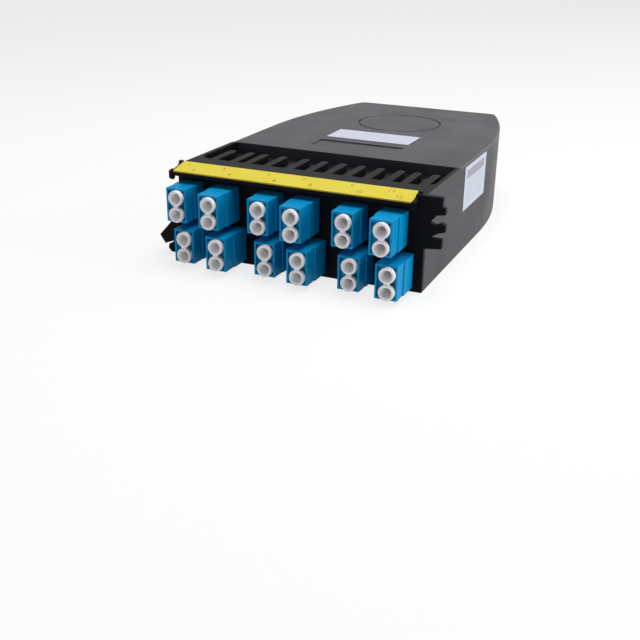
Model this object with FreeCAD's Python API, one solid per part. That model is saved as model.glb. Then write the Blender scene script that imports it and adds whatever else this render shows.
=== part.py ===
import FreeCAD, Part
import math
import os

# Fibre cassette: a flat moulded housing that turns two multi-fibre inlets at the rear into twelve
# LC duplex adapters at the front. Millimetres, +X right, +Y to the rear, +Z up. Modelling frame:
# X = 0 on the mid-plane, Y = 0 on the front edge of the side walls, Z = 0 on the underside. Every
# piece is moved towards -Y by half the body's length as it is written, so the origin of the
# written pieces is the middle of the underside.

V = FreeCAD.Vector

# ---- driving dimensions ------------------------------------------------------------------------
HALF_W = 49.4          # half of the housing's width at the front
BODY_LEN = 152.0       # front edge of the side walls to the rear wall
BODY_H = 35.7          # underside to the lid's top face
WALL = 2.0             # side, rear and lid thickness
FLOOR = 1.4            # floor thickness
PARTING_Z = 28.5       # joint between the base and the pieces above it
STRAIGHT_LEN = 77.0    # the side walls run straight this far back, then curve inwards
SIDE_R = 195.0         # radius of the curved side walls
REAR_CORNER_R = 3.0
GAP = 0.1              # working gap between mouldings that meet

LC_PITCH = 6.25        # between the two ports of a duplex adapter
ADAPTER_X = (-40.8, -25.8, -7.1, 7.1, 25.8, 40.8)
ROW_SHIFT = (-1.35, 1.35)  # the top row's ports stand to the left of those places, the bottom row's right
ADAPTER_Z = (8.0, 23.5)
ADAPTER_W = 8.2
ADAPTER_H = 12.7
ADAPTER_LEN = 28.4
SHOULDER_W = 9.0       # wider part of an adapter that stops against the bezel
SHOULDER_START = 6.2   # from the adapter's front face
REACH = (14.8, 17.5)   # adapters stand out this far in front of Y = 0, by turns
PORT = 4.7             # side of a port's square bore
PORT_DEPTH = 11.5
PORT_SHIFT = 0.7       # the ports lie this far to the right in the adapter, beside the latch slots
MOUTH = (6.8, 11.2)    # sunk mouth round both front ports, across and upright
MOUTH_DEPTH = 1.4

BEZEL_T = 2.0
SHELF_LEN = 10.6       # plain shelf on top, behind the port strip
LID_FRONT_Y = 40.8
WELL_Z = 31.5          # floor of the sunk comb between the shelf and the lid
WELL_UNDER_Z = 30.3
WELL_HALF_W = 47.4
BAR_W = 3.0
BAR_END_Y = 27.2
BAR_X = (-41.0, -32.6, -26.5, -18.2, -8.7, -0.7, 6.9, 14.7, 22.5, 30.5, 36.9, 44.1)
RIB_X = (-36.9, -13.6, -4.9, 10.6, 18.7, 26.2, 40.5)
RIB_W = 0.8
RIB_DROP = 1.6         # the ribs' tops lie this far under the shelf

STRIP_X = (-48.9, 45.5)
STRIP_DEPTH = 8.1
STRIP_DROP = 1.9       # fall of the sloping strip from its rear edge to its front edge
STRIP_T = 0.5
STRIP_REAR_Y = 1.7
SEAT_Z = BODY_H - 0.15

CAP_R = 3.1            # dust cap disc
CAP_BORE_R = 1.65
CAP_SHAFT_R = 2.15
CAP_OUT = 2.0          # cap face in front of the adapter's face
CAP_DISC_T = 1.9
CAP_IN = 7.0           # depth of the shafts in the ports

RING = (0.0, 110.0)    # centre of the round groove in the lid
RING_R = 18.6
LABEL_HALF_W = 18.5    # half of the width of the lid's label and of the recess in front of it
MPO_X = (-16.5, 16.5)
MPO_Z = 12.0
MPO_W = 13.0
MPO_H = 9.8
MPO_LEN = 24.0
MPO_OUT = 8.0          # the rear adapters stand out this far behind the rear wall

SPOOL = (0.0, 92.0)
COIL_R = (15.4, 18.6)
COIL_Z = (4.5, 27.0)
LEG_W = 0.8            # a flat pair of fibres, across and upright
LEG_H = 2.8
RIBBON = 1.8           # side of the square bundle from a multi-fibre plug

RIM_CHAMFER = 0.7      # broken edge round the lid
GROOVE_W = 0.8
GROOVE_DEPTH = 0.6
SKIN_T = 1.2           # locating rib and latch tongues inside the walls
LATCH_HALF_W = 4.2     # half of a latch tongue's width
CATCH_HALF_W = 2.6     # half of the width of the catch that fills its window
CATCH_Z = 23.0         # flat underside of the lid's catches
CATCH_DEPTH = 0.95
TONGUE_Z = 20.5        # lower ends of the lid's tongues
SIDE_LATCH_Y = 58.0
REAR_LATCH_X = 25.0
CHEEK_Z = {-1: (4.3, 12.3), 1: (18.5, 26.5)}  # tongues of the front frame, left and right
CHEEK_CATCH_Y = 10.5
SMALL_SIDES = 12       # sides of the small round forms that repeat
CAP_SIDES = 20         # sides of a dust cap's disc
COIL_SIDES = 30        # sides of the hidden ring of slack fibre


# ---- shared shape helpers ----------------------------------------------------------------------
def box(x0, x1, y0, y1, z0, z1):
    return Part.makeBox(x1 - x0, y1 - y0, z1 - z0, V(x0, y0, z0))


def post(x, y, z0, z1, r):
    return Part.makeCylinder(r, z1 - z0, V(x, y, z0), V(0, 0, 1))


def prism_xz(points, y0, y1):
    """Polygon given as (x, z) points, run from y0 to y1."""
    wire = Part.makePolygon([V(x, y0, z) for x, z in points + points[:1]])
    return Part.Face(wire).extrude(V(0, y1 - y0, 0))


def prism_yz(points, x0, x1):
    """Polygon given as (y, z) points, run from x0 to x1."""
    wire = Part.makePolygon([V(x0, y, z) for y, z in points + points[:1]])
    return Part.Face(wire).extrude(V(x1 - x0, 0, 0))


def prism_xy(points, z0, z1):
    """Polygon given as (x, y) points, run from z0 to z1."""
    wire = Part.makePolygon([V(x, y, z0) for x, y in points + points[:1]])
    return Part.Face(wire).extrude(V(0, 0, z1 - z0))


def regular(x, y, r, sides):
    """Corners of a regular polygon, for round forms that repeat many times or stay hidden."""
    step = 2 * math.pi / sides
    return [(x + r * math.cos(step * i), y + r * math.sin(step * i)) for i in range(sides)]


def tapered_block(x, z, y0, y1, half0, half1):
    """Block along Y whose half sizes (across, upright) go from half0 at y0 to half1 at y1."""
    return Part.makeWedge(x - half0[0], y0, z - half0[1], z - half1[1], x - half1[0],
                          x + half0[0], y1, z + half0[1], z + half1[1], x + half1[0])


def fuse_all(shapes):
    first = shapes[0]
    return first.fuse(shapes[1:]).removeSplitter() if len(shapes) > 1 else first


def outline_block(inset, z0, z1, y0):
    """Housing outline, drawn in by inset: straight sides, then arcs to a narrower rear wall."""
    half = HALF_W - inset
    radius = SIDE_R - inset
    rear = BODY_LEN - inset
    centre_x = HALF_W - SIDE_R

    def side(y):
        return centre_x + math.sqrt(radius ** 2 - (y - STRAIGHT_LEN) ** 2)

    mid_y = (STRAIGHT_LEN + rear) / 2
    edges = [Part.LineSegment(V(-half, y0, z0), V(half, y0, z0)).toShape()]
    edges.append(Part.LineSegment(V(half, y0, z0), V(half, STRAIGHT_LEN, z0)).toShape())
    edges.append(Part.Arc(V(half, STRAIGHT_LEN, z0), V(side(mid_y), mid_y, z0),
                          V(side(rear), rear, z0)).toShape())
    edges.append(Part.LineSegment(V(side(rear), rear, z0), V(-side(rear), rear, z0)).toShape())
    edges.append(Part.Arc(V(-side(rear), rear, z0), V(-side(mid_y), mid_y, z0),
                          V(-half, STRAIGHT_LEN, z0)).toShape())
    edges.append(Part.LineSegment(V(-half, STRAIGHT_LEN, z0), V(-half, y0, z0)).toShape())
    block = Part.Face(Part.Wire(edges)).extrude(V(0, 0, z1 - z0))
    upright = [e for e in block.Edges
               if abs(e.Vertexes[0].Point.y - rear) < 0.01 and abs(e.Vertexes[1].Point.y - rear) < 0.01
               and abs(e.Vertexes[0].Point.x - e.Vertexes[1].Point.x) < 0.01]
    return block.makeFillet(max(REAR_CORNER_R - inset, 0.8), upright)


def adapter_places():
    """Number, port centre (x, z) and reach of the twelve adapters, top row first."""
    places = []
    for row, z in enumerate(reversed(ADAPTER_Z)):
        for column, x in enumerate(ADAPTER_X):
            number = row * len(ADAPTER_X) + column + 1
            places.append((number, x + ROW_SHIFT[row], z, REACH[column % 2]))
    return places


# ---- housing -----------------------------------------------------------------------------------
def base_shell():
    """Tray: floor, curved walls with latch catches, rear wall with two inlets, and the fibre spool."""
    tray = outline_block(0, 0, PARTING_Z, 0)
    hollow = outline_block(WALL, FLOOR, PARTING_Z + 1, -1)
    windows = []
    for x in MPO_X:
        windows.append(box(x - MPO_W / 2 - GAP, x + MPO_W / 2 + GAP, BODY_LEN - WALL - 1, BODY_LEN + 1,
                           MPO_Z - MPO_H / 2 - GAP, MPO_Z + MPO_H / 2 + GAP))
    return fuse_all([tray.cut([hollow] + windows), fibre_spool()] + wall_catches())


def wall_catches():
    """Wedges on the inside of the walls that snap into the windows of the lid's and frame's tongues."""
    rear = BODY_LEN - WALL
    ramp_top = CATCH_Z + 3.0
    catches = []
    for side in (-1, 1):
        wall = side * (HALF_W - WALL + 0.1)
        tip = side * (HALF_W - WALL - CATCH_DEPTH)
        catches.append(prism_xz([(wall, ramp_top), (tip, CATCH_Z), (wall, CATCH_Z)],
                                SIDE_LATCH_Y - CATCH_HALF_W, SIDE_LATCH_Y + CATCH_HALF_W))
        mid_z = sum(CHEEK_Z[side]) / 2
        catches.append(prism_xy([(wall, CHEEK_CATCH_Y - 3), (tip, CHEEK_CATCH_Y), (wall, CHEEK_CATCH_Y)],
                                mid_z - 1.8, mid_z + 1.8))
        x = side * REAR_LATCH_X
        wedge = [(rear + 0.1, ramp_top), (rear - CATCH_DEPTH, CATCH_Z), (rear + 0.1, CATCH_Z)]
        catches.append(prism_yz(wedge, x - CATCH_HALF_W, x + CATCH_HALF_W))
    return catches


def fibre_spool():
    """Round wall on the floor with four tabs over the fibre coil."""
    sx, sy = SPOOL
    outer = COIL_R[0] - 0.4
    top = COIL_Z[1] + 2.0
    wall = post(sx, sy, FLOOR - 0.2, top, outer).cut(post(sx, sy, FLOOR - 1, top + 1, outer - 1.6))
    tab = box(sx + outer - 1.0, sx + outer + 4.2, sy - 3, sy + 3, top - 1.2, top)
    tabs = []
    for turn in (45, 135, 225, 315):
        copy = tab.copy()
        copy.rotate(V(sx, sy, 0), V(0, 0, 1), turn)
        tabs.append(copy)
    return fuse_all([wall] + tabs)


def lid_tongues():
    """Four tongues with windows, two in the side walls and two in the rear wall."""
    rear = BODY_LEN - WALL - GAP
    top = BODY_H - WALL + 0.1
    slot = (CATCH_Z - GAP, CATCH_Z + 3.4)
    slack = CATCH_HALF_W + 0.2
    y = SIDE_LATCH_Y
    tongues = []
    windows = []
    for side in (-1, 1):
        out = HALF_W - WALL - GAP
        x0, x1 = sorted((side * out, side * (out - SKIN_T)))
        tongues.append(box(x0, x1, y - LATCH_HALF_W, y + LATCH_HALF_W, TONGUE_Z, top))
        windows.append(box(x0 - 1, x1 + 1, y - slack, y + slack, slot[0], slot[1]))
        x = side * REAR_LATCH_X
        tongues.append(box(x - LATCH_HALF_W, x + LATCH_HALF_W, rear - SKIN_T, rear, TONGUE_Z, top))
        windows.append(box(x - slack, x + slack, rear - SKIN_T - 1, rear + 1, slot[0], slot[1]))
    return tongues, windows


def top_cover():
    """Lid with a chamfered rim, a short skirt, a locating rib and four latch tongues."""
    lid = outline_block(0, PARTING_Z, BODY_H, LID_FRONT_Y)
    top_rim = [e for e in lid.Edges
               if all(abs(v.Point.z - BODY_H) < 0.01 for v in e.Vertexes)
               and not all(abs(v.Point.y - LID_FRONT_Y) < 0.01 for v in e.Vertexes)]
    lid = lid.makeChamfer(RIM_CHAMFER, top_rim)
    lid = lid.cut(outline_block(WALL, PARTING_Z - 1, BODY_H - WALL, LID_FRONT_Y + WALL))
    rib = outline_block(WALL + GAP, PARTING_Z - 1.6, BODY_H - WALL + 0.1, LID_FRONT_Y + 20)
    rib = rib.cut(outline_block(WALL + GAP + SKIN_T, PARTING_Z - 2, BODY_H, LID_FRONT_Y + 19))
    tongues, windows = lid_tongues()
    rx, ry = RING
    groove = post(rx, ry, BODY_H - GROOVE_DEPTH, BODY_H + 1, RING_R + GROOVE_W / 2)
    groove = groove.cut(post(rx, ry, BODY_H - 1, BODY_H + 2, RING_R - GROOVE_W / 2))
    recess = box(-LABEL_HALF_W, LABEL_HALF_W, 51.5, 62.7, BODY_H - 0.4, BODY_H + 1)
    return lid.fuse([rib] + tongues).cut(windows + [groove, recess]).removeSplitter()


# ---- front frame: bezel, brow, comb and the interlocks at the sides ----------------------------
def bezel_plate():
    plate = box(-HALF_W, HALF_W, -BEZEL_T, 0, 0, BODY_H)
    cuts = []
    for _, x, z, _ in adapter_places():
        middle = x - PORT_SHIFT
        half_w = ADAPTER_W / 2 + GAP
        half_h = ADAPTER_H / 2 + GAP
        cuts.append(box(middle - half_w, middle + half_w, -BEZEL_T - 1, 1, z - half_h, z + half_h))
    return plate.cut(cuts)


def brow():
    """Sloping seat for the port strip, with end stops and a hanging hook at each end."""
    rear = STRIP_REAR_Y
    front = rear - STRIP_DEPTH
    seat_front_z = SEAT_Z - STRIP_DROP
    profile = [(rear + 1, BODY_H), (rear, BODY_H), (rear, SEAT_Z), (front, seat_front_z),
               (front - 0.7, seat_front_z + 0.1), (front - 0.7, seat_front_z - 1.2),
               (-BEZEL_T, seat_front_z - 0.6), (rear + 1, seat_front_z - 0.6)]
    ledge = prism_yz(profile, STRIP_X[0] - 1.2, STRIP_X[1] + 1.2)
    hook = [(front - 0.7, seat_front_z + 0.5), (front + 1.4, seat_front_z + 0.9),
            (front + 1.4, seat_front_z - 2.4), (front + 0.2, seat_front_z - 3.0),
            (front - 0.7, seat_front_z - 2.2)]
    ends = []
    for edge, side in ((STRIP_X[0], -1), (STRIP_X[1], 1)):
        near = edge + side * 0.05
        far = edge + side * 1.5
        ends.append(prism_yz(hook, min(near, far), max(near, far)))
        ends.append(box(min(near, far), max(near, far), rear - 1.5, rear, BODY_H - 1.5, BODY_H + 0.7))
    return fuse_all([ledge] + ends)


def comb_deck():
    """Top of the frame: plain shelf, sunk well and the raised bars and ribs standing in it."""
    end = LID_FRONT_Y - GAP
    deck = box(-HALF_W, HALF_W, -0.5, end, PARTING_Z + GAP, BODY_H)
    inner = HALF_W - WALL
    under = [box(-inner, inner, -1, end + 1, PARTING_Z - 1, WELL_UNDER_Z),
             box(-inner, inner, 0, SHELF_LEN - 1.6, PARTING_Z, BODY_H - WALL)]
    well = box(-WELL_HALF_W, WELL_HALF_W, SHELF_LEN, end + 10, WELL_Z, BODY_H + 1)
    front_corners = [e for e in well.Edges
                     if all(abs(v.Point.y - SHELF_LEN) < 0.01 for v in e.Vertexes)
                     and abs(e.Vertexes[0].Point.x - e.Vertexes[1].Point.x) < 0.01]
    deck = deck.cut(under + [well.makeFillet(5.0, front_corners)])
    raised = []
    for x in BAR_X:
        raised.append(comb_bar(x))
    for x in RIB_X:
        raised.append(box(x - RIB_W / 2, x + RIB_W / 2, SHELF_LEN - 1, BAR_END_Y - 2, WELL_Z - 0.2,
                          BODY_H - RIB_DROP))
        boss = regular(x, BAR_END_Y + 3.4, 1.1, SMALL_SIDES)
        raised.append(prism_xy(boss, WELL_Z - 0.2, WELL_Z + 1.6))
    return deck.fuse(raised)


def comb_bar(x):
    """Bar that runs back from the shelf through the well, level with the shelf, with a rounded end."""
    r = BAR_W / 2
    steps = SMALL_SIDES // 2
    end = [(x + r * math.cos(math.pi * i / steps), BAR_END_Y - r + r * math.sin(math.pi * i / steps))
           for i in range(steps + 1)]
    return prism_xy([(x - r, SHELF_LEN - 1), (x + r, SHELF_LEN - 1)] + end, WELL_Z - 0.2, BODY_H)


def left_hook():
    """Arrow-shaped tongue that slides behind the neighbour's notched edge."""
    arrow = [(-HALF_W + 1, 16.1), (-HALF_W, 16.1), (-57.3, 7.4), (-55.0, 4.1), (-51.2, 5.6),
             (-51.2, 4.4), (-53.4, 4.0), (-53.6, 2.4), (-52.3, 1.0), (-HALF_W + 1, 1.0)]
    return prism_xz(arrow, -4.8, 0)


def right_prongs():
    """Notched edge: hooked upper prong, arrow-headed middle prong and plain lower prong."""
    edge = [(HALF_W - 1, BODY_H), (55.2, BODY_H), (55.2, 32.1), (56.4, 32.0), (56.4, 29.7), (53.3, 29.2),
            (51.0, 26.4), (53.1, 25.7), (55.3, 26.7), (56.6, 26.0), (56.7, 23.6), (54.3, 22.9),
            (51.0, 20.9), (55.7, 20.8), (55.7, 17.4), (HALF_W - 1, 16.6)]
    return prism_xz(edge, -BEZEL_T, 0)


def frame_cheeks():
    """Windowed tongues behind the bezel that slide inside the base walls and snap over their catches."""
    inner = HALF_W - WALL - GAP
    cheeks = []
    for side, (z0, z1) in CHEEK_Z.items():
        mid_z = (z0 + z1) / 2
        x0, x1 = sorted((side * inner, side * (inner - 0.9)))
        cheek = box(x0, x1, -0.5, CHEEK_CATCH_Y + 3.5, z0, z1)
        window = box(x0 - 1, x1 + 1, CHEEK_CATCH_Y - 3.4, CHEEK_CATCH_Y + GAP, mid_z - 2.0, mid_z + 2.0)
        cheeks.append(cheek.cut(window))
    return cheeks


def front_frame():
    pieces = [bezel_plate(), brow(), comb_deck(), left_hook(), right_prongs()] + frame_cheeks()
    return pieces[0].fuse(pieces[1:]).cut(strip_room()).removeSplitter()


def strip_section(thickness):
    """Section of the sloping strip above its seat, as (y, z) points."""
    front = STRIP_REAR_Y - STRIP_DEPTH
    rear_z = SEAT_Z
    front_z = SEAT_Z - STRIP_DROP
    return [(STRIP_REAR_Y, rear_z), (front, front_z), (front, front_z + thickness),
            (STRIP_REAR_Y, rear_z + thickness)]


def strip_room():
    """Space above the seat that the bezel's top edge leaves to the strip."""
    return prism_yz(strip_section(3.0), STRIP_X[0] - 0.05, STRIP_X[1] + 0.05)


def port_strip():
    return prism_yz(strip_section(STRIP_T), STRIP_X[0], STRIP_X[1])


def lid_label():
    return box(-LABEL_HALF_W, LABEL_HALF_W, 68.3, 84.4, BODY_H, BODY_H + 0.15)


def side_label():
    return box(HALF_W, HALF_W + 0.15, 46.5, 77.8, 17.0, 34.6)


# ---- LC adapters, their dust caps and the plugs behind them ------------------------------------
def lc_adapter(x, z, reach):
    """Duplex adapter: sunk mouth with two ports and their latch slots, two rear ports, and a shoulder."""
    front = -reach
    middle = x - PORT_SHIFT
    left = middle - ADAPTER_W / 2
    right = middle + ADAPTER_W / 2
    top = z + ADAPTER_H / 2
    body = box(left, right, front, front + ADAPTER_LEN, z - ADAPTER_H / 2, top)
    shoulder = box(middle - SHOULDER_W / 2, middle + SHOULDER_W / 2, front + SHOULDER_START, -BEZEL_T,
                   z - ADAPTER_H / 2, top)
    lugs = [prism_xy([(right - 0.2, GAP), (right - 0.2, 3.2), (right + 0.7, GAP)], z - 2, z + 2),
            prism_yz([(GAP, top - 0.2), (3.2, top - 0.2), (GAP, top + 0.7)], middle - 2, middle + 2)]
    cuts = [box(middle - MOUTH[0] / 2, middle + MOUTH[0] / 2, front - 1, front + MOUTH_DEPTH,
                z - MOUTH[1] / 2, z + MOUTH[1] / 2)]
    for dz in (-LC_PITCH / 2, LC_PITCH / 2):
        for y0 in (front - 1, front + ADAPTER_LEN - PORT_DEPTH):
            cuts.append(box(x - PORT / 2, x + PORT / 2, y0, y0 + PORT_DEPTH + 1,
                            z + dz - PORT / 2, z + dz + PORT / 2))
        cuts.append(box(x - PORT / 2 - 1.3, x - PORT / 2 + 0.1, front, front + PORT_DEPTH,
                        z + dz - 1.3, z + dz + 1.3))
    return fuse_all([body, shoulder] + lugs).cut(cuts)


def dust_cap(x, z, reach):
    """Two hollow-faced discs joined by a neck, each with a round shaft in its port."""
    face = -reach - CAP_OUT
    back = face + CAP_DISC_T
    tip = -reach + CAP_IN
    solids = [box(x - 1.0, x + 1.0, face, back, z - 1.2, z + 1.2)]
    bores = []
    for dz in (-LC_PITCH / 2, LC_PITCH / 2):
        solids.append(prism_xz(regular(x, z + dz, CAP_R, CAP_SIDES), face, back))
        solids.append(prism_xz(regular(x, z + dz, CAP_SHAFT_R, SMALL_SIDES), face + 0.5, tip))
        bores.append(prism_xz(regular(x, z + dz, CAP_BORE_R, SMALL_SIDES), face - 1, face + 6))
    return fuse_all(solids).cut(bores)


def inner_plug(x, z, reach):
    """Duplex LC plug in the rear ports: two noses, the joined bodies and two tapered boots."""
    rear = -reach + ADAPTER_LEN
    half = (PORT - 0.2) / 2
    body_half_w = 2.6
    pieces = [box(x - body_half_w, x + body_half_w, rear + 0.1, rear + 11, z - 5.6, z + 5.6)]
    for dz in (-LC_PITCH / 2, LC_PITCH / 2):
        zc = z + dz
        pieces.append(box(x - half, x + half, rear - 9.5, rear + 1, zc - half, zc + half))
        pieces.append(tapered_block(x, zc, rear + 10.5, rear + 21.5, (1.8, 1.8), (1.0, 1.0)))
    return fuse_all(pieces)


# ---- multi-fibre inlets at the rear ------------------------------------------------------------
def mpo_adapter(x):
    """Multi-fibre adapter: flange against the rear wall, latch lugs inside it, a keyed port each way."""
    front = BODY_LEN + MPO_OUT - MPO_LEN
    edge = MPO_W / 2
    body = box(x - edge, x + edge, front, front + MPO_LEN, MPO_Z - MPO_H / 2, MPO_Z + MPO_H / 2)
    flange = box(x - 8.2, x + 8.2, BODY_LEN, BODY_LEN + 1.2, MPO_Z - MPO_H / 2 - 1, MPO_Z + MPO_H / 2 + 1)
    inside = BODY_LEN - WALL - GAP
    lugs = [prism_xy([(x + side * (edge - 0.2), inside), (x + side * (edge + 0.8), inside),
                      (x + side * (edge - 0.2), inside - 3.4)], MPO_Z - 2, MPO_Z + 2) for side in (-1, 1)]
    cuts = []
    for y0 in (front - 1, front + MPO_LEN - 10):
        cuts.append(box(x - 5.0, x + 5.0, y0, y0 + 11, MPO_Z - 3.4, MPO_Z + 3.4))
        cuts.append(box(x - 1.6, x + 1.6, y0, y0 + 11, MPO_Z + 3.3, MPO_Z + 4.2))
    return fuse_all([body, flange] + lugs).cut(cuts)


def mpo_cap(x):
    rear = BODY_LEN + MPO_OUT
    plug = box(x - 4.8, x + 4.8, rear - 7, rear + 0.5, MPO_Z - 3.2, MPO_Z + 3.2)
    head = box(x - 6.3, x + 6.3, rear + 0.1, rear + 3.6, MPO_Z - 4.7, MPO_Z + 4.7)
    hollow = box(x - 3.8, x + 3.8, rear - 4, rear + 4, MPO_Z - 2.2, MPO_Z + 2.2)
    return fuse_all([plug, head]).cut(hollow)


def mpo_plug(x):
    """Multi-fibre plug inside the housing, with its key on top and a flat boot."""
    front = BODY_LEN + MPO_OUT - MPO_LEN
    nose = box(x - 4.8, x + 4.8, front - 2, front + 9, MPO_Z - 3.2, MPO_Z + 3.2)
    key = box(x - 1.5, x + 1.5, front - 2, front + 6, MPO_Z + 3.1, MPO_Z + 4.0)
    grip = box(x - 6.2, x + 6.2, front - 14, front - 0.2, MPO_Z - 4.2, MPO_Z + 4.2)
    boot = tapered_block(x, MPO_Z, front - 23, front - 13.5, (2.2, 1.2), (3.4, 2.2))
    return fuse_all([nose, key, grip, boot])


# ---- fibres ------------------------------------------------------------------------------------
def flat_run(start, end, z, across, upright):
    """Level band between two (x, y) points: two equal arcs that leave and arrive along Y."""
    shift = end[0] - start[0]
    run = end[1] - start[1]
    side = math.copysign(1, shift)
    along = math.copysign(1, run)
    radius = (shift ** 2 + run ** 2) / (4 * abs(shift))
    turn = math.asin(abs(run) / 2 / radius)
    z0 = z - upright / 2

    def first(offset, angle):
        reach = radius - offset
        return V(start[0] + side * (radius - reach * math.cos(angle)),
                 start[1] + along * reach * math.sin(angle), z0)

    def second(offset, angle):
        reach = radius + offset
        return V(end[0] - side * (radius - reach * math.cos(angle)),
                 end[1] - along * reach * math.sin(angle), z0)

    edges = []
    for offset in (-across / 2, across / 2):
        edges.append(Part.Arc(first(offset, 0), first(offset, turn / 2), first(offset, turn)).toShape())
        edges.append(Part.Arc(second(offset, turn), second(offset, turn / 2), second(offset, 0)).toShape())
    for end_of in (first, second):
        edges.append(Part.LineSegment(end_of(-across / 2, 0), end_of(across / 2, 0)).toShape())
    outline = Part.Wire(Part.sortEdges(edges)[0])
    return Part.Face(outline).extrude(V(0, 0, upright)), radius


def fibre_coil():
    """Slack wound on the spool, as the ring that its turns fill."""
    sx, sy = SPOOL
    ring = prism_xy(regular(sx, sy, COIL_R[1], COIL_SIDES), COIL_Z[0], COIL_Z[1])
    return ring.cut(prism_xy(regular(sx, sy, COIL_R[0], COIL_SIDES), COIL_Z[0] - 1, COIL_Z[1] + 1))


def fibre_legs():
    """Fibre pairs from the coil to the boots of the twelve duplex plugs."""
    coil = fibre_coil()
    legs = []
    for number, x, z, reach in adapter_places():
        side = math.copysign(1, x)
        columns = [abs(c) for c in ADAPTER_X if c > 0]
        rank = min(range(len(columns)), key=lambda i: abs(columns[i] - abs(x)))
        start = (side * (COIL_R[0] + 0.8 + rank * 0.95), SPOOL[1] - 2)
        end = (x, -reach + ADAPTER_LEN + 21.5)
        leg, radius = flat_run(start, end, z, LEG_W, LEG_H)
        print("leg", number, "bend radius", round(radius, 1))
        legs.append(leg.cut(coil))
    return legs


def fibre_ribbons():
    """Bundles from the boots of the two multi-fibre plugs to the coil."""
    ribbons = []
    for x in MPO_X:
        start = (x, BODY_LEN + MPO_OUT - MPO_LEN - 23)
        end = (math.copysign(COIL_R[0] + 1.6, x), SPOOL[1])
        ribbon, radius = flat_run(start, end, MPO_Z, RIBBON, RIBBON)
        print("ribbon bend radius", round(radius, 1))
        ribbons.append(ribbon.cut(fibre_coil()))
    return ribbons


# ---- write the pieces --------------------------------------------------------------------------
def write(name, shape):
    moved = shape.copy()
    moved.translate(V(0, -BODY_LEN / 2, 0))
    solids = moved.Solids
    print(name, "solids", len(solids), "volume", round(moved.Volume, 1), "valid", moved.isValid())
    if moved.ShapeType == "Compound" and len(solids) == 1:
        moved = solids[0]
    moved.exportStep("parts/" + name + ".step")


def main():
    os.makedirs("parts", exist_ok=True)
    write("base_shell", base_shell())
    write("top_cover", top_cover())
    write("front_frame", front_frame())
    write("port_strip", port_strip())
    write("lid_label", lid_label())
    write("side_label", side_label())
    for number, x, z, reach in adapter_places():
        write("lc_adapter_%02d" % number, lc_adapter(x, z, reach))
        write("dust_cap_%02d" % number, dust_cap(x, z, reach))
        write("inner_plug_%02d" % number, inner_plug(x, z, reach))
    for name, x in zip(("left", "right"), MPO_X):
        write("rear_adapter_" + name, mpo_adapter(x))
        write("rear_cap_" + name, mpo_cap(x))
        write("rear_plug_" + name, mpo_plug(x))
    write("fibre_harness", Part.makeCompound([fibre_coil()] + fibre_legs() + fibre_ribbons()))


main()
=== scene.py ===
import math
import bpy
from mathutils import Matrix, Vector


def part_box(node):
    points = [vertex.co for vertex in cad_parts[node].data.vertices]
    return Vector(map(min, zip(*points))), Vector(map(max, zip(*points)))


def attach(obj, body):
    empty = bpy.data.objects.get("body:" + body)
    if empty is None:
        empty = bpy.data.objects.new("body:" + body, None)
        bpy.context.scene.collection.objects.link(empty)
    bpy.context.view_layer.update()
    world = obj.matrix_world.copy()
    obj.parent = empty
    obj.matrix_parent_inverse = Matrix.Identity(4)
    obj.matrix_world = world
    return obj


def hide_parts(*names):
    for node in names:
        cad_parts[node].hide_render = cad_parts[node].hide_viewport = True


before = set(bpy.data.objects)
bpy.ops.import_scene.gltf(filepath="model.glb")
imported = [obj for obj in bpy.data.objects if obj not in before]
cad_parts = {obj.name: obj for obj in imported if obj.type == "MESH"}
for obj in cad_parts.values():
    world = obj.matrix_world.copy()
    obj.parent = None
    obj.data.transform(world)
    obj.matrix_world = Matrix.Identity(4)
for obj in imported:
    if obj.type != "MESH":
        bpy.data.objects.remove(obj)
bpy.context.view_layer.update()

# ---- camera --------------------------------------------------------------------------------------
# A short portrait lens in front of the right-hand corner, looking down on the ports and the lid.
# It stands about 0.4 m away and is tilted a little to one side, as a hand-held camera is.
MM = 0.001
CAMERA_TURN = math.radians(23.53)
CAMERA_HEIGHT_ANGLE = math.radians(23.33)
CAMERA_ROLL = math.radians(0.88)
bpy.ops.object.camera_add(location=(140.7 * MM, -377.3 * MM, 123.1 * MM))
camera = bpy.context.object
camera.name = "camera"
facing = (Matrix.Rotation(CAMERA_TURN, 3, "Z") @ Matrix.Rotation(math.pi / 2 - CAMERA_HEIGHT_ANGLE, 3, "X")
          @ Matrix.Rotation(CAMERA_ROLL, 3, "Z"))
camera.rotation_euler = facing.to_euler()
camera.data.lens = 52.8
camera.data.sensor_width = 36.0
camera.data.clip_start = 0.01
bpy.context.scene.camera = camera
bpy.context.scene.view_settings.view_transform = "Standard"

# ---- housing base ----------------------------------------------------------------------------------
# The tray under the cassette: black ABS, injection moulded in a spark-eroded tool that leaves a fine
# even grain, with the curved side walls, the catches for the lid and the fibre spool in one piece.
SHEEN_TINT = (0.86, 0.88, 1.0, 1.0)
HOUSING_BLACK = (0.0045, 0.0046, 0.0062, 1.0)
# paler black for the edges: painted edge highlight together with rubbing wear
HOUSING_RUBBED_AND_HIGHLIT = (0.015, 0.016, 0.020, 1.0)


def feed(links, node, *sources):
    """Feeds a node's inputs in order: a socket is linked and a number or colour is set."""
    for socket, source in zip(node.inputs, sources):
        if isinstance(source, bpy.types.NodeSocket):
            links.new(source, socket)
        elif source is not None:
            socket.default_value = source
    return node.outputs[0]


def math_node(material, operation, *sources):
    node = material.node_tree.nodes.new("ShaderNodeMath")
    node.operation = operation
    return feed(material.node_tree.links, node, *sources)


def empty_material(name):
    material = bpy.data.materials.new(name)
    material.use_nodes = True
    return material, material.node_tree.nodes["Principled BSDF"]


def blend_colours(material, factor, first, second):
    node = material.node_tree.nodes.new("ShaderNodeMix")
    node.data_type = "RGBA"
    links = material.node_tree.links
    links.new(factor, node.inputs["Factor"])
    for socket, source in ((node.inputs["A"], first), (node.inputs["B"], second)):
        if isinstance(source, bpy.types.NodeSocket):
            links.new(source, socket)
        else:
            socket.default_value = source
    return next(o for o in node.outputs if o.type == "RGBA")


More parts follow.
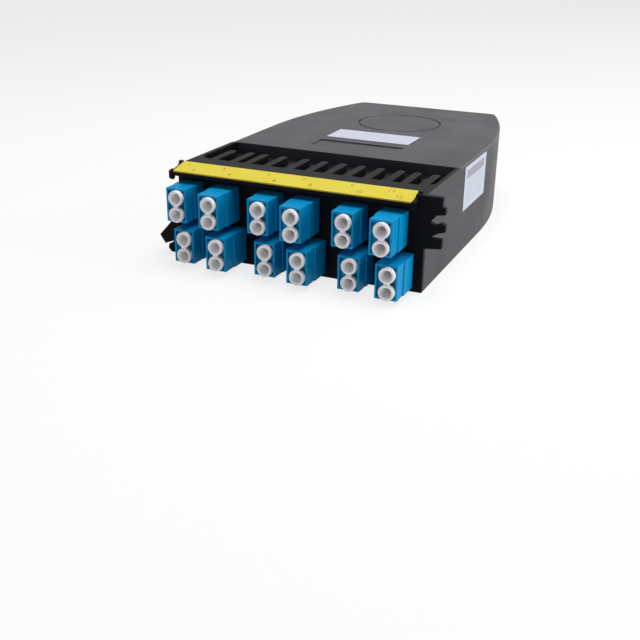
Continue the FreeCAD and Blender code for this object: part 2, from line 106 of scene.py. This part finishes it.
def noise_field(material, scale, detail=2.0, stretch=(1, 1, 1)):
    """Even noise over the piece, with a scale given in features per metre."""
    nodes, links = material.node_tree.nodes, material.node_tree.links
    coordinates = nodes.new("ShaderNodeTexCoord")
    mapping = nodes.new("ShaderNodeMapping")
    mapping.inputs["Scale"].default_value = stretch
    noise = nodes.new("ShaderNodeTexNoise")
    noise.inputs["Scale"].default_value = scale
    noise.inputs["Detail"].default_value = detail
    links.new(coordinates.outputs["Object"], mapping.inputs["Vector"])
    links.new(mapping.outputs["Vector"], noise.inputs["Vector"])
    return noise.outputs["Fac"]


def spread(material, source, low, high, out_low, out_high):
    """Maps the range from low to high onto the one from out_low to out_high, held at both ends."""
    node = material.node_tree.nodes.new("ShaderNodeMapRange")
    return feed(material.node_tree.links, node, source, low, high, out_low, out_high)


def moulded_plastic(name, colour, rubbed_and_highlit, roughness, gloss, grain_mm, grain_depth_mm, edge_mm):
    """Moulded plastic: slow colour drift, tool grain, and rounded edges given the second colour in patches; a
    paler edge colour is painted edge highlight together with rubbing wear.
    """
    material, shader = empty_material(name)
    nodes, links = material.node_tree.nodes, material.node_tree.links
    rounded = nodes.new("ShaderNodeBevel")
    rounded.samples = 6
    rounded.inputs["Radius"].default_value = edge_mm * MM
    geometry = nodes.new("ShaderNodeNewGeometry")
    turn = nodes.new("ShaderNodeVectorMath")
    turn.operation = "DOT_PRODUCT"
    links.new(rounded.outputs["Normal"], turn.inputs[0])
    links.new(geometry.outputs["Normal"], turn.inputs[1])
    edge = spread(material, turn.outputs["Value"], 0.985, 0.80, 0.0, 0.75)
    drift = noise_field(material, 45.0, 3.0)
    edge_patches = spread(material, noise_field(material, 420.0, 4.0), 0.45, 0.75, 0.15, 1.0)
    # the edges take the second colour in patches: where it is paler, painted edge highlight together with
    # rubbing wear
    worn_and_highlit = math_node(material, "MULTIPLY", edge, edge_patches)
    slow = spread(material, drift, 0.3, 0.7, 0.0, 0.22)
    amount = math_node(material, "ADD", worn_and_highlit, slow)
    links.new(blend_colours(material, amount, colour, rubbed_and_highlit), shader.inputs["Base Color"])
    uneven = spread(material, drift, 0.3, 0.7, roughness - 0.04, roughness + 0.05)
    links.new(uneven, shader.inputs["Roughness"])
    grain = nodes.new("ShaderNodeBump")
    grain.inputs["Strength"].default_value = 0.6
    grain.inputs["Distance"].default_value = grain_depth_mm * MM
    links.new(noise_field(material, 1000.0 / grain_mm, 2.0), grain.inputs["Height"])
    links.new(rounded.outputs["Normal"], grain.inputs["Normal"])
    links.new(grain.outputs["Normal"], shader.inputs["Normal"])
    shader.inputs["Specular IOR Level"].default_value = gloss
    shader.inputs["Specular Tint"].default_value = SHEEN_TINT
    return material


def finish(piece, material):
    piece.data.materials.clear()
    piece.data.materials.append(material)


def dress(names, material):
    """Gives the CAD pieces with these names one finish."""
    for name in names:
        finish(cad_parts[name], material)


housing_grain = moulded_plastic("housing_grain", HOUSING_BLACK, HOUSING_RUBBED_AND_HIGHLIT, roughness=0.46, gloss=0.40,
                                grain_mm=0.35, grain_depth_mm=0.012, edge_mm=0.35)
dress(["base_shell"], housing_grain)

# ---- lid ---------------------------------------------------------------------------------------------
# The cover snaps into the tray by four tongues. It is the same black ABS as the tray, with a broken
# edge all round, a shallow round groove and a bare recess for a plate.
dress(["top_cover"], housing_grain)

# ---- front frame -------------------------------------------------------------------------------------
# One moulding holds the adapters and carries the comb deck, the brow for the port strip, the left
# tongue and the right prongs. It slides into the tray and snaps over two catches. Its black is painted
# darker than the tray's, and its front and deck are made dull, as painted shade for the shade under the
# brow and between the adapters. Its side walls are as glossy as the tray's.
# painted shade: this black is darker than the tray's, for the shade on the front under the brow and between
# the adapters
FRAME_SHADE_BLACK = (0.0025, 0.0025, 0.0035, 1.0)
# paler black for the edges: painted edge highlight together with rubbing wear
FRAME_RUBBED_AND_HIGHLIT = (0.007, 0.007, 0.009, 1.0)
FRAME_SIDE_X = 49.0 * MM     # the side walls lie outside this, on either side
FRAME_SIDE_Y = -75.8 * MM    # and behind this
# the dull front and deck are darkened further, standing in for the same shade
FRONT_GLOSS, SIDE_GLOSS = 0.07, 0.36
FRONT_ROUGHNESS, SIDE_ROUGHNESS = 0.53, 0.45
frame_grain_and_shade = moulded_plastic("frame_grain_and_shade", FRAME_SHADE_BLACK, FRAME_RUBBED_AND_HIGHLIT, roughness=FRONT_ROUGHNESS,
                              gloss=FRONT_GLOSS, grain_mm=0.35, grain_depth_mm=0.012, edge_mm=0.30)
shader = frame_grain_and_shade.node_tree.nodes["Principled BSDF"]
links = frame_grain_and_shade.node_tree.links
coordinates = frame_grain_and_shade.node_tree.nodes.new("ShaderNodeTexCoord")
split = frame_grain_and_shade.node_tree.nodes.new("ShaderNodeSeparateXYZ")
links.new(coordinates.outputs["Object"], split.inputs["Vector"])
from_middle = math_node(frame_grain_and_shade, "ABSOLUTE", split.outputs["X"])
outer = math_node(frame_grain_and_shade, "GREATER_THAN", from_middle, FRAME_SIDE_X)
behind = math_node(frame_grain_and_shade, "GREATER_THAN", split.outputs["Y"], FRAME_SIDE_Y)
side_wall = math_node(frame_grain_and_shade, "MULTIPLY", outer, behind)
side_gloss = spread(frame_grain_and_shade, side_wall, 0.0, 1.0, FRONT_GLOSS, SIDE_GLOSS)
side_roughness = spread(frame_grain_and_shade, side_wall, 0.0, 1.0, FRONT_ROUGHNESS, SIDE_ROUGHNESS)
links.new(side_gloss, shader.inputs["Specular IOR Level"])
links.new(side_roughness, shader.inputs["Roughness"])
dress(["front_frame"], frame_grain_and_shade)

# ---- port strip ----------------------------------------------------------------------------------------
# A yellow strip of printed vinyl-faced board that lies on the sloping brow between its end stops.
# Two rows of small dark numerals give the number of each port.
STRIP_YELLOW = (0.68, 0.56, 0.042, 1.0)
STRIP_FADED = (0.71, 0.61, 0.085, 1.0)
STRIP_T = 0.5 * MM
NUMERAL_SIZE = 2.835 * MM
NUMERAL_T = 0.02 * MM
# Each row: what is taken from twice the adapter's number, share of the strip's depth, shift to the right.
NUMERAL_ROWS = ((1, 0.70, -2.6 * MM), (0, 0.28, 1.4 * MM))
INK = (0.30, 0.25, 0.06, 1.0)
INK_FADED = (0.40, 0.34, 0.10, 1.0)


def printed_board(name, colour, faded, roughness):
    """Printed board: slightly uneven ink over a fibrous surface."""
    material, shader = empty_material(name)
    nodes, links = material.node_tree.nodes, material.node_tree.links
    uneven = spread(material, noise_field(material, 160.0, 5.0), 0.35, 0.7, 0.0, 0.6)
    links.new(blend_colours(material, uneven, colour, faded), shader.inputs["Base Color"])
    fibres = nodes.new("ShaderNodeBump")
    fibres.inputs["Strength"].default_value = 0.35
    fibres.inputs["Distance"].default_value = 0.01 * MM
    links.new(noise_field(material, 5200.0, 3.0, (1.0, 0.35, 1.0)), fibres.inputs["Height"])
    links.new(fibres.outputs["Normal"], shader.inputs["Normal"])
    shader.inputs["Roughness"].default_value = roughness
    shader.inputs["Specular IOR Level"].default_value = 0.15
    return material


dress(["port_strip"], printed_board("strip_print", STRIP_YELLOW, STRIP_FADED, 0.5))
strip_low, strip_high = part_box("port_strip")
strip_depth = strip_high.y - strip_low.y
strip_rise = strip_high.z - strip_low.z - STRIP_T
strip_slope = math.atan2(strip_rise, strip_depth)
ink = printed_board("numeral_ink", INK, INK_FADED, 0.6)
numerals = []
for adapter in range(1, 7):
    lo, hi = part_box("lc_adapter_%02d" % adapter)
    middle = (lo.x + hi.x) / 2
    for less, share, shift in NUMERAL_ROWS:
        bpy.ops.object.text_add(location=(0, 0, 0))
        numeral = bpy.context.object
        numeral.data.body = str(2 * adapter - less)
        numeral.data.size = NUMERAL_SIZE
        numeral.data.extrude = NUMERAL_T
        numeral.data.align_x = "CENTER"
        numeral.data.align_y = "CENTER"
        bpy.ops.object.convert(target="MESH")
        numeral = bpy.context.object
        height = strip_low.z + STRIP_T + strip_rise * share
        place = Matrix.Translation((middle + shift, strip_low.y + strip_depth * share, height + NUMERAL_T))
        numeral.data.transform(place @ Matrix.Rotation(strip_slope, 4, "X"))
        numerals.append(numeral)
bpy.ops.object.select_all(action="DESELECT")
for numeral in numerals:
    numeral.select_set(True)
bpy.context.view_layer.objects.active = numerals[0]
bpy.ops.object.join()
strip_numerals = bpy.context.object
strip_numerals.name = "strip_numerals"
finish(strip_numerals, ink)
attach(strip_numerals, "housing")

# ---- labels --------------------------------------------------------------------------------------------
# Two white film labels, one on the lid and one on the right wall. They carry only plain rules and
# blocks of grey, where a maker would print its own text.
LABEL_WHITE = (0.47, 0.50, 0.60, 1.0)
LABEL_GREY = (0.15, 0.155, 0.17, 1.0)


def label_print(name, across, up, block_top, block_height, line_step, strength):
    """White film with a grey block along its top and rows of broken grey rules under it.

    across and up are (axis, low, high) of the label's face; the other numbers are shares of its height.
    """
    material, shader = empty_material(name)
    nodes, links = material.node_tree.nodes, material.node_tree.links
    coordinates = nodes.new("ShaderNodeTexCoord")
    split = nodes.new("ShaderNodeSeparateXYZ")
    links.new(coordinates.outputs["Object"], split.inputs["Vector"])
    u = spread(material, split.outputs[across[0]], across[1], across[2], 0.0, 1.0)
    v = spread(material, split.outputs[up[0]], up[1], up[2], 0.0, 1.0)

    def inside(source, low, high):
        return math_node(material, "MULTIPLY", math_node(material, "GREATER_THAN", source, low),
                        math_node(material, "LESS_THAN", source, high))

    margin = inside(u, 0.09, 0.90)
    block = inside(v, block_top - block_height, block_top)
    step = math_node(material, "FRACT", math_node(material, "DIVIDE", v, line_step))
    rules = math_node(material, "MULTIPLY", math_node(material, "LESS_THAN", step, 0.38),
                     inside(v, 0.10, block_top - block_height - 0.05))
    gaps = spread(material, noise_field(material, 900.0, 1.0), 0.47, 0.50, 0.0, 0.75)
    words = math_node(material, "MULTIPLY", rules, gaps)
    print_mask = math_node(material, "MAXIMUM", math_node(material, "MULTIPLY", block, strength),
                           math_node(material, "MULTIPLY", words, strength * 0.6))
    mask = math_node(material, "MULTIPLY", print_mask, margin)
    links.new(blend_colours(material, mask, LABEL_WHITE, LABEL_GREY), shader.inputs["Base Color"])
    film = nodes.new("ShaderNodeBump")
    film.inputs["Strength"].default_value = 0.25
    film.inputs["Distance"].default_value = 0.01 * MM
    links.new(noise_field(material, 700.0, 3.0), film.inputs["Height"])
    links.new(film.outputs["Normal"], shader.inputs["Normal"])
    shader.inputs["Roughness"].default_value = 0.38
    return material


lo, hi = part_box("lid_label")
lid_print = label_print("lid_label_print", ("X", lo.x, hi.x), ("Y", lo.y, hi.y),
                        block_top=0.88, block_height=0.001, line_step=0.14, strength=0.30)
dress(["lid_label"], lid_print)
lo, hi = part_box("side_label")
side_print = label_print("side_label_print", ("Y", lo.y, hi.y), ("Z", lo.z, hi.z),
                         block_top=0.90, block_height=0.20, line_step=0.085, strength=0.75)
dress(["side_label"], side_print)

# ---- adapters ------------------------------------------------------------------------------------------
# Twelve duplex adapters of aqua PBT snap into the bezel, two ports each. They stand out by turns, so
# a finger can reach the latch of each plug. Their shoulders stop against the bezel.
AQUA = (0.0, 0.245, 0.52, 1.0)
# paler aqua for the edges: painted edge highlight together with rubbing wear
AQUA_PALE = (0.005, 0.38, 0.72, 1.0)
PORT_PAIRS = range(1, 13)
adapter_finish = moulded_plastic("adapter_finish", AQUA, AQUA_PALE, roughness=0.42, gloss=0.10,
                                 grain_mm=0.5, grain_depth_mm=0.006, edge_mm=0.20)
dress(["lc_adapter_%02d" % n for n in PORT_PAIRS], adapter_finish)

# ---- dust caps -----------------------------------------------------------------------------------------
# A pair of white polyethylene caps joined by a neck closes each adapter. Each half is a hollow stub:
# a thick disc to pull on and a round shaft that is pushed into the port.
CAP_WHITE = (0.80, 0.785, 0.80, 1.0)
CAP_HANDLED = (0.70, 0.69, 0.71, 1.0)
CAP_DISC_T = 1.9 * MM
CAP_DISC_R = 2.9 * MM
CAP_SHAFT_R = 2.15 * MM
CAP_BORE_R = 1.65 * MM
CAP_DISH_R = 2.2 * MM       # the bore opens into this dish in the face
CAP_DISH_DEPTH = 0.9 * MM
CAP_BORE_DEPTH = 7.5 * MM
NECK_W = 2.0 * MM
NECK_H = 2.6 * MM
SMOOTH_ANGLE = 40           # degrees between faces above which an edge is rounded


def pick_faces(piece, test):
    """Selects, in edit mode, only the faces that pass the test."""
    bpy.ops.object.mode_set(mode="OBJECT")
    for part in (piece.data.vertices, piece.data.edges):
        part.foreach_set("select", [False] * len(part))
    for face in piece.data.polygons:
        face.select = bool(test(face))
    bpy.ops.object.mode_set(mode="EDIT")
    bpy.ops.mesh.select_mode(type="FACE")


def round_off(piece, width, segments, angle):
    """Applied bevel on the piece's sharp edges, then smooth shading between them."""
    bpy.ops.object.mode_set(mode="OBJECT")
    bevel = piece.modifiers.new("edges", "BEVEL")
    bevel.width = width
    bevel.segments = segments
    bevel.limit_method = "ANGLE"
    bevel.angle_limit = math.radians(angle)
    bpy.ops.object.modifier_apply(modifier="edges")
    bpy.ops.object.shade_smooth_by_angle(angle=math.radians(angle))


def cap_half(x, z, face_y, length):
    bpy.ops.object.select_all(action="DESELECT")
    bpy.ops.mesh.primitive_cylinder_add(vertices=48, radius=CAP_DISC_R, depth=CAP_DISC_T,
                                        location=(x, face_y + CAP_DISC_T / 2, z),
                                        rotation=(math.pi / 2, 0, 0))
    half = bpy.context.object
    bpy.ops.object.transform_apply(location=True, rotation=True, scale=True)
    pick_faces(half, lambda f: f.normal.y < -0.9)
    bpy.ops.mesh.inset(thickness=CAP_DISC_R - CAP_DISH_R)
    bpy.ops.mesh.inset(thickness=CAP_DISH_R - CAP_BORE_R, depth=-CAP_DISH_DEPTH)
    bpy.ops.mesh.extrude_region_move(TRANSFORM_OT_translate={"value": (0, CAP_BORE_DEPTH, 0)})
    pick_faces(half, lambda f: f.normal.y > 0.9)
    bpy.ops.mesh.inset(thickness=CAP_DISC_R - CAP_SHAFT_R)
    bpy.ops.mesh.extrude_region_move(TRANSFORM_OT_translate={"value": (0, length - CAP_DISC_T, 0)})
    round_off(half, 0.28 * MM, 3, SMOOTH_ANGLE)
    return half


def dust_cap(name, cad_name):
    lo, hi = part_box(cad_name)
    x = (lo.x + hi.x) / 2
    radius = (hi.x - lo.x) / 2
    halves = [cap_half(x, z, lo.y, hi.y - lo.y) for z in (lo.z + radius, hi.z - radius)]
    bpy.ops.object.select_all(action="DESELECT")
    bpy.ops.mesh.primitive_cube_add(size=1.0, location=(x, lo.y + CAP_DISC_T * 0.52, (lo.z + hi.z) / 2),
                                    scale=(NECK_W, CAP_DISC_T * 0.8, NECK_H))
    neck = bpy.context.object
    bpy.ops.object.transform_apply(location=True, rotation=True, scale=True)
    round_off(neck, 0.25 * MM, 2, SMOOTH_ANGLE)
    for half in halves:
        half.select_set(True)
    bpy.context.view_layer.objects.active = neck
    bpy.ops.object.join()
    cap = bpy.context.object
    cap.name = name
    return cap


cap_finish = moulded_plastic("cap_finish", CAP_WHITE, CAP_HANDLED, roughness=0.40, gloss=0.20,
                             grain_mm=0.4, grain_depth_mm=0.004, edge_mm=0.15)
first_cap = dust_cap("cap_pair_01", "dust_cap_01")
finish(first_cap, cap_finish)
first_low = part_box("dust_cap_01")[0]
for n in PORT_PAIRS[1:]:
    cap = first_cap.copy()
    cap.data = first_cap.data.copy()
    cap.name = "cap_pair_%02d" % n
    bpy.context.scene.collection.objects.link(cap)
    cap.data.transform(Matrix.Translation(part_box("dust_cap_%02d" % n)[0] - first_low))
for n in PORT_PAIRS:
    cap = bpy.data.objects["cap_pair_%02d" % n]
    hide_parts("dust_cap_%02d" % n)
    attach(cap, "cap_%02d" % n)

# ---- fibres and plugs inside -----------------------------------------------------------------------------
# Twelve duplex plugs stand in the backs of the adapters. Their fibres run back to a coil on the
# spool and on to two multi-fibre plugs, all in aqua, the colour for this grade of fibre.
FIBRE_AQUA = (0.02, 0.42, 0.44, 1.0)
FIBRE_PALE = (0.10, 0.52, 0.54, 1.0)
PLUG_AQUA = (0.0, 0.30, 0.42, 1.0)
fibre_finish = moulded_plastic("fibre_finish", FIBRE_AQUA, FIBRE_PALE, roughness=0.5, gloss=0.3,
                               grain_mm=0.3, grain_depth_mm=0.004, edge_mm=0.10)
dress(["fibre_harness"], fibre_finish)
plug_finish = moulded_plastic("plug_finish", PLUG_AQUA, AQUA_PALE, roughness=0.42, gloss=0.3,
                              grain_mm=0.4, grain_depth_mm=0.005, edge_mm=0.15)
dress(["inner_plug_%02d" % n for n in PORT_PAIRS] + ["rear_plug_left", "rear_plug_right"], plug_finish)

# ---- rear inlets -----------------------------------------------------------------------------------------
# Two black multi-fibre adapters stand in windows of the rear wall, each closed by a soft black cap
# that pulls straight back.
REAR_BLACK = (0.008, 0.008, 0.010, 1.0)
REAR_CAP_BLACK = (0.018, 0.018, 0.021, 1.0)
rear_finish = moulded_plastic("rear_finish", REAR_BLACK, HOUSING_RUBBED_AND_HIGHLIT, roughness=0.38, gloss=0.3,
                              grain_mm=0.5, grain_depth_mm=0.006, edge_mm=0.30)
dress(["rear_adapter_left", "rear_adapter_right"], rear_finish)
rear_cap_finish = moulded_plastic("rear_cap_finish", REAR_CAP_BLACK, HOUSING_RUBBED_AND_HIGHLIT, roughness=0.6, gloss=0.3,
                                  grain_mm=0.8, grain_depth_mm=0.01, edge_mm=0.40)
dress(["rear_cap_left", "rear_cap_right"], rear_cap_finish)

# ---- floor, backdrop and lamps ---------------------------------------------------------------------------
# A wide pale floor that shows white and keeps a soft shadow, a white surround, and four soft lamps:
# one overhead, one low at the right, one higher behind at the right and a weak one in front.
FLOOR_GREY = (0.90, 0.90, 0.90, 1.0)
WHITE = (1.0, 1.0, 1.0, 1.0)
FLOOR_GLOW = 0.78        # share of plain white in the floor as the camera and reflections see it
AMBIENT = 0.15           # the surround's own light on the object
LAMPS_AIM = Vector((0, -0.02, 0.02))


def seen_directly(owner):
    """1 for camera, glossy and transmission rays, which show the background, and 0 for the rest."""
    path = owner.node_tree.nodes.new("ShaderNodeLightPath")
    seen = math_node(owner, "MAXIMUM", path.outputs["Is Camera Ray"], path.outputs["Is Glossy Ray"])
    return math_node(owner, "MAXIMUM", seen, path.outputs["Is Transmission Ray"])


def mix_shaders(owner, share, first, second, output_type):
    nodes, links = owner.node_tree.nodes, owner.node_tree.links
    mix = nodes.new("ShaderNodeMixShader")
    for socket, source in zip(mix.inputs, (share, first, second)):
        links.new(source, socket)
    links.new(mix.outputs["Shader"], nodes.new(output_type).inputs["Surface"])


def background(world, strength):
    node = world.node_tree.nodes.new("ShaderNodeBackground")
    node.inputs["Color"].default_value = WHITE
    node.inputs["Strength"].default_value = strength
    return node.outputs["Background"]


bpy.ops.mesh.primitive_plane_add(size=12.0, location=(0, 0, -0.0001))
floor = bpy.context.object
floor.name = "floor"
floor_paint = bpy.data.materials.new("floor_paint")
floor_paint.use_nodes = True
nodes = floor_paint.node_tree.nodes
nodes.clear()
paint = nodes.new("ShaderNodeBsdfDiffuse")
paint.inputs["Color"].default_value = FLOOR_GREY
glow = nodes.new("ShaderNodeEmission")
glow.inputs["Color"].default_value = WHITE
glow.inputs["Strength"].default_value = 1.0
share = math_node(floor_paint, "MULTIPLY", seen_directly(floor_paint), FLOOR_GLOW)
mix_shaders(floor_paint, share, paint.outputs["BSDF"], glow.outputs["Emission"], "ShaderNodeOutputMaterial")
floor.data.materials.append(floor_paint)

world = bpy.data.worlds.new("surround")
bpy.context.scene.world = world
world.use_nodes = True
world.node_tree.nodes.clear()
mix_shaders(world, seen_directly(world), background(world, AMBIENT), background(world, 1.0),
            "ShaderNodeOutputWorld")


def soft_lamp(name, place, size, power):
    bpy.ops.object.light_add(type="AREA", location=place)
    lamp = bpy.context.object
    lamp.name = name
    lamp.data.shape = "SQUARE"
    lamp.data.size = size
    lamp.data.energy = power
    lamp.rotation_euler = (LAMPS_AIM - Vector(place)).to_track_quat("-Z", "Y").to_euler()


soft_lamp("overhead", (0.05, 0.0, 0.60), 0.38, 3.1)
soft_lamp("key_right", (0.75, 0.12, 0.22), 0.40, 3.2)
soft_lamp("rear_right", (0.45, 0.80, 0.40), 0.50, 1.6)
soft_lamp("front", (0.0, -0.90, 0.30), 0.50, 1.3)
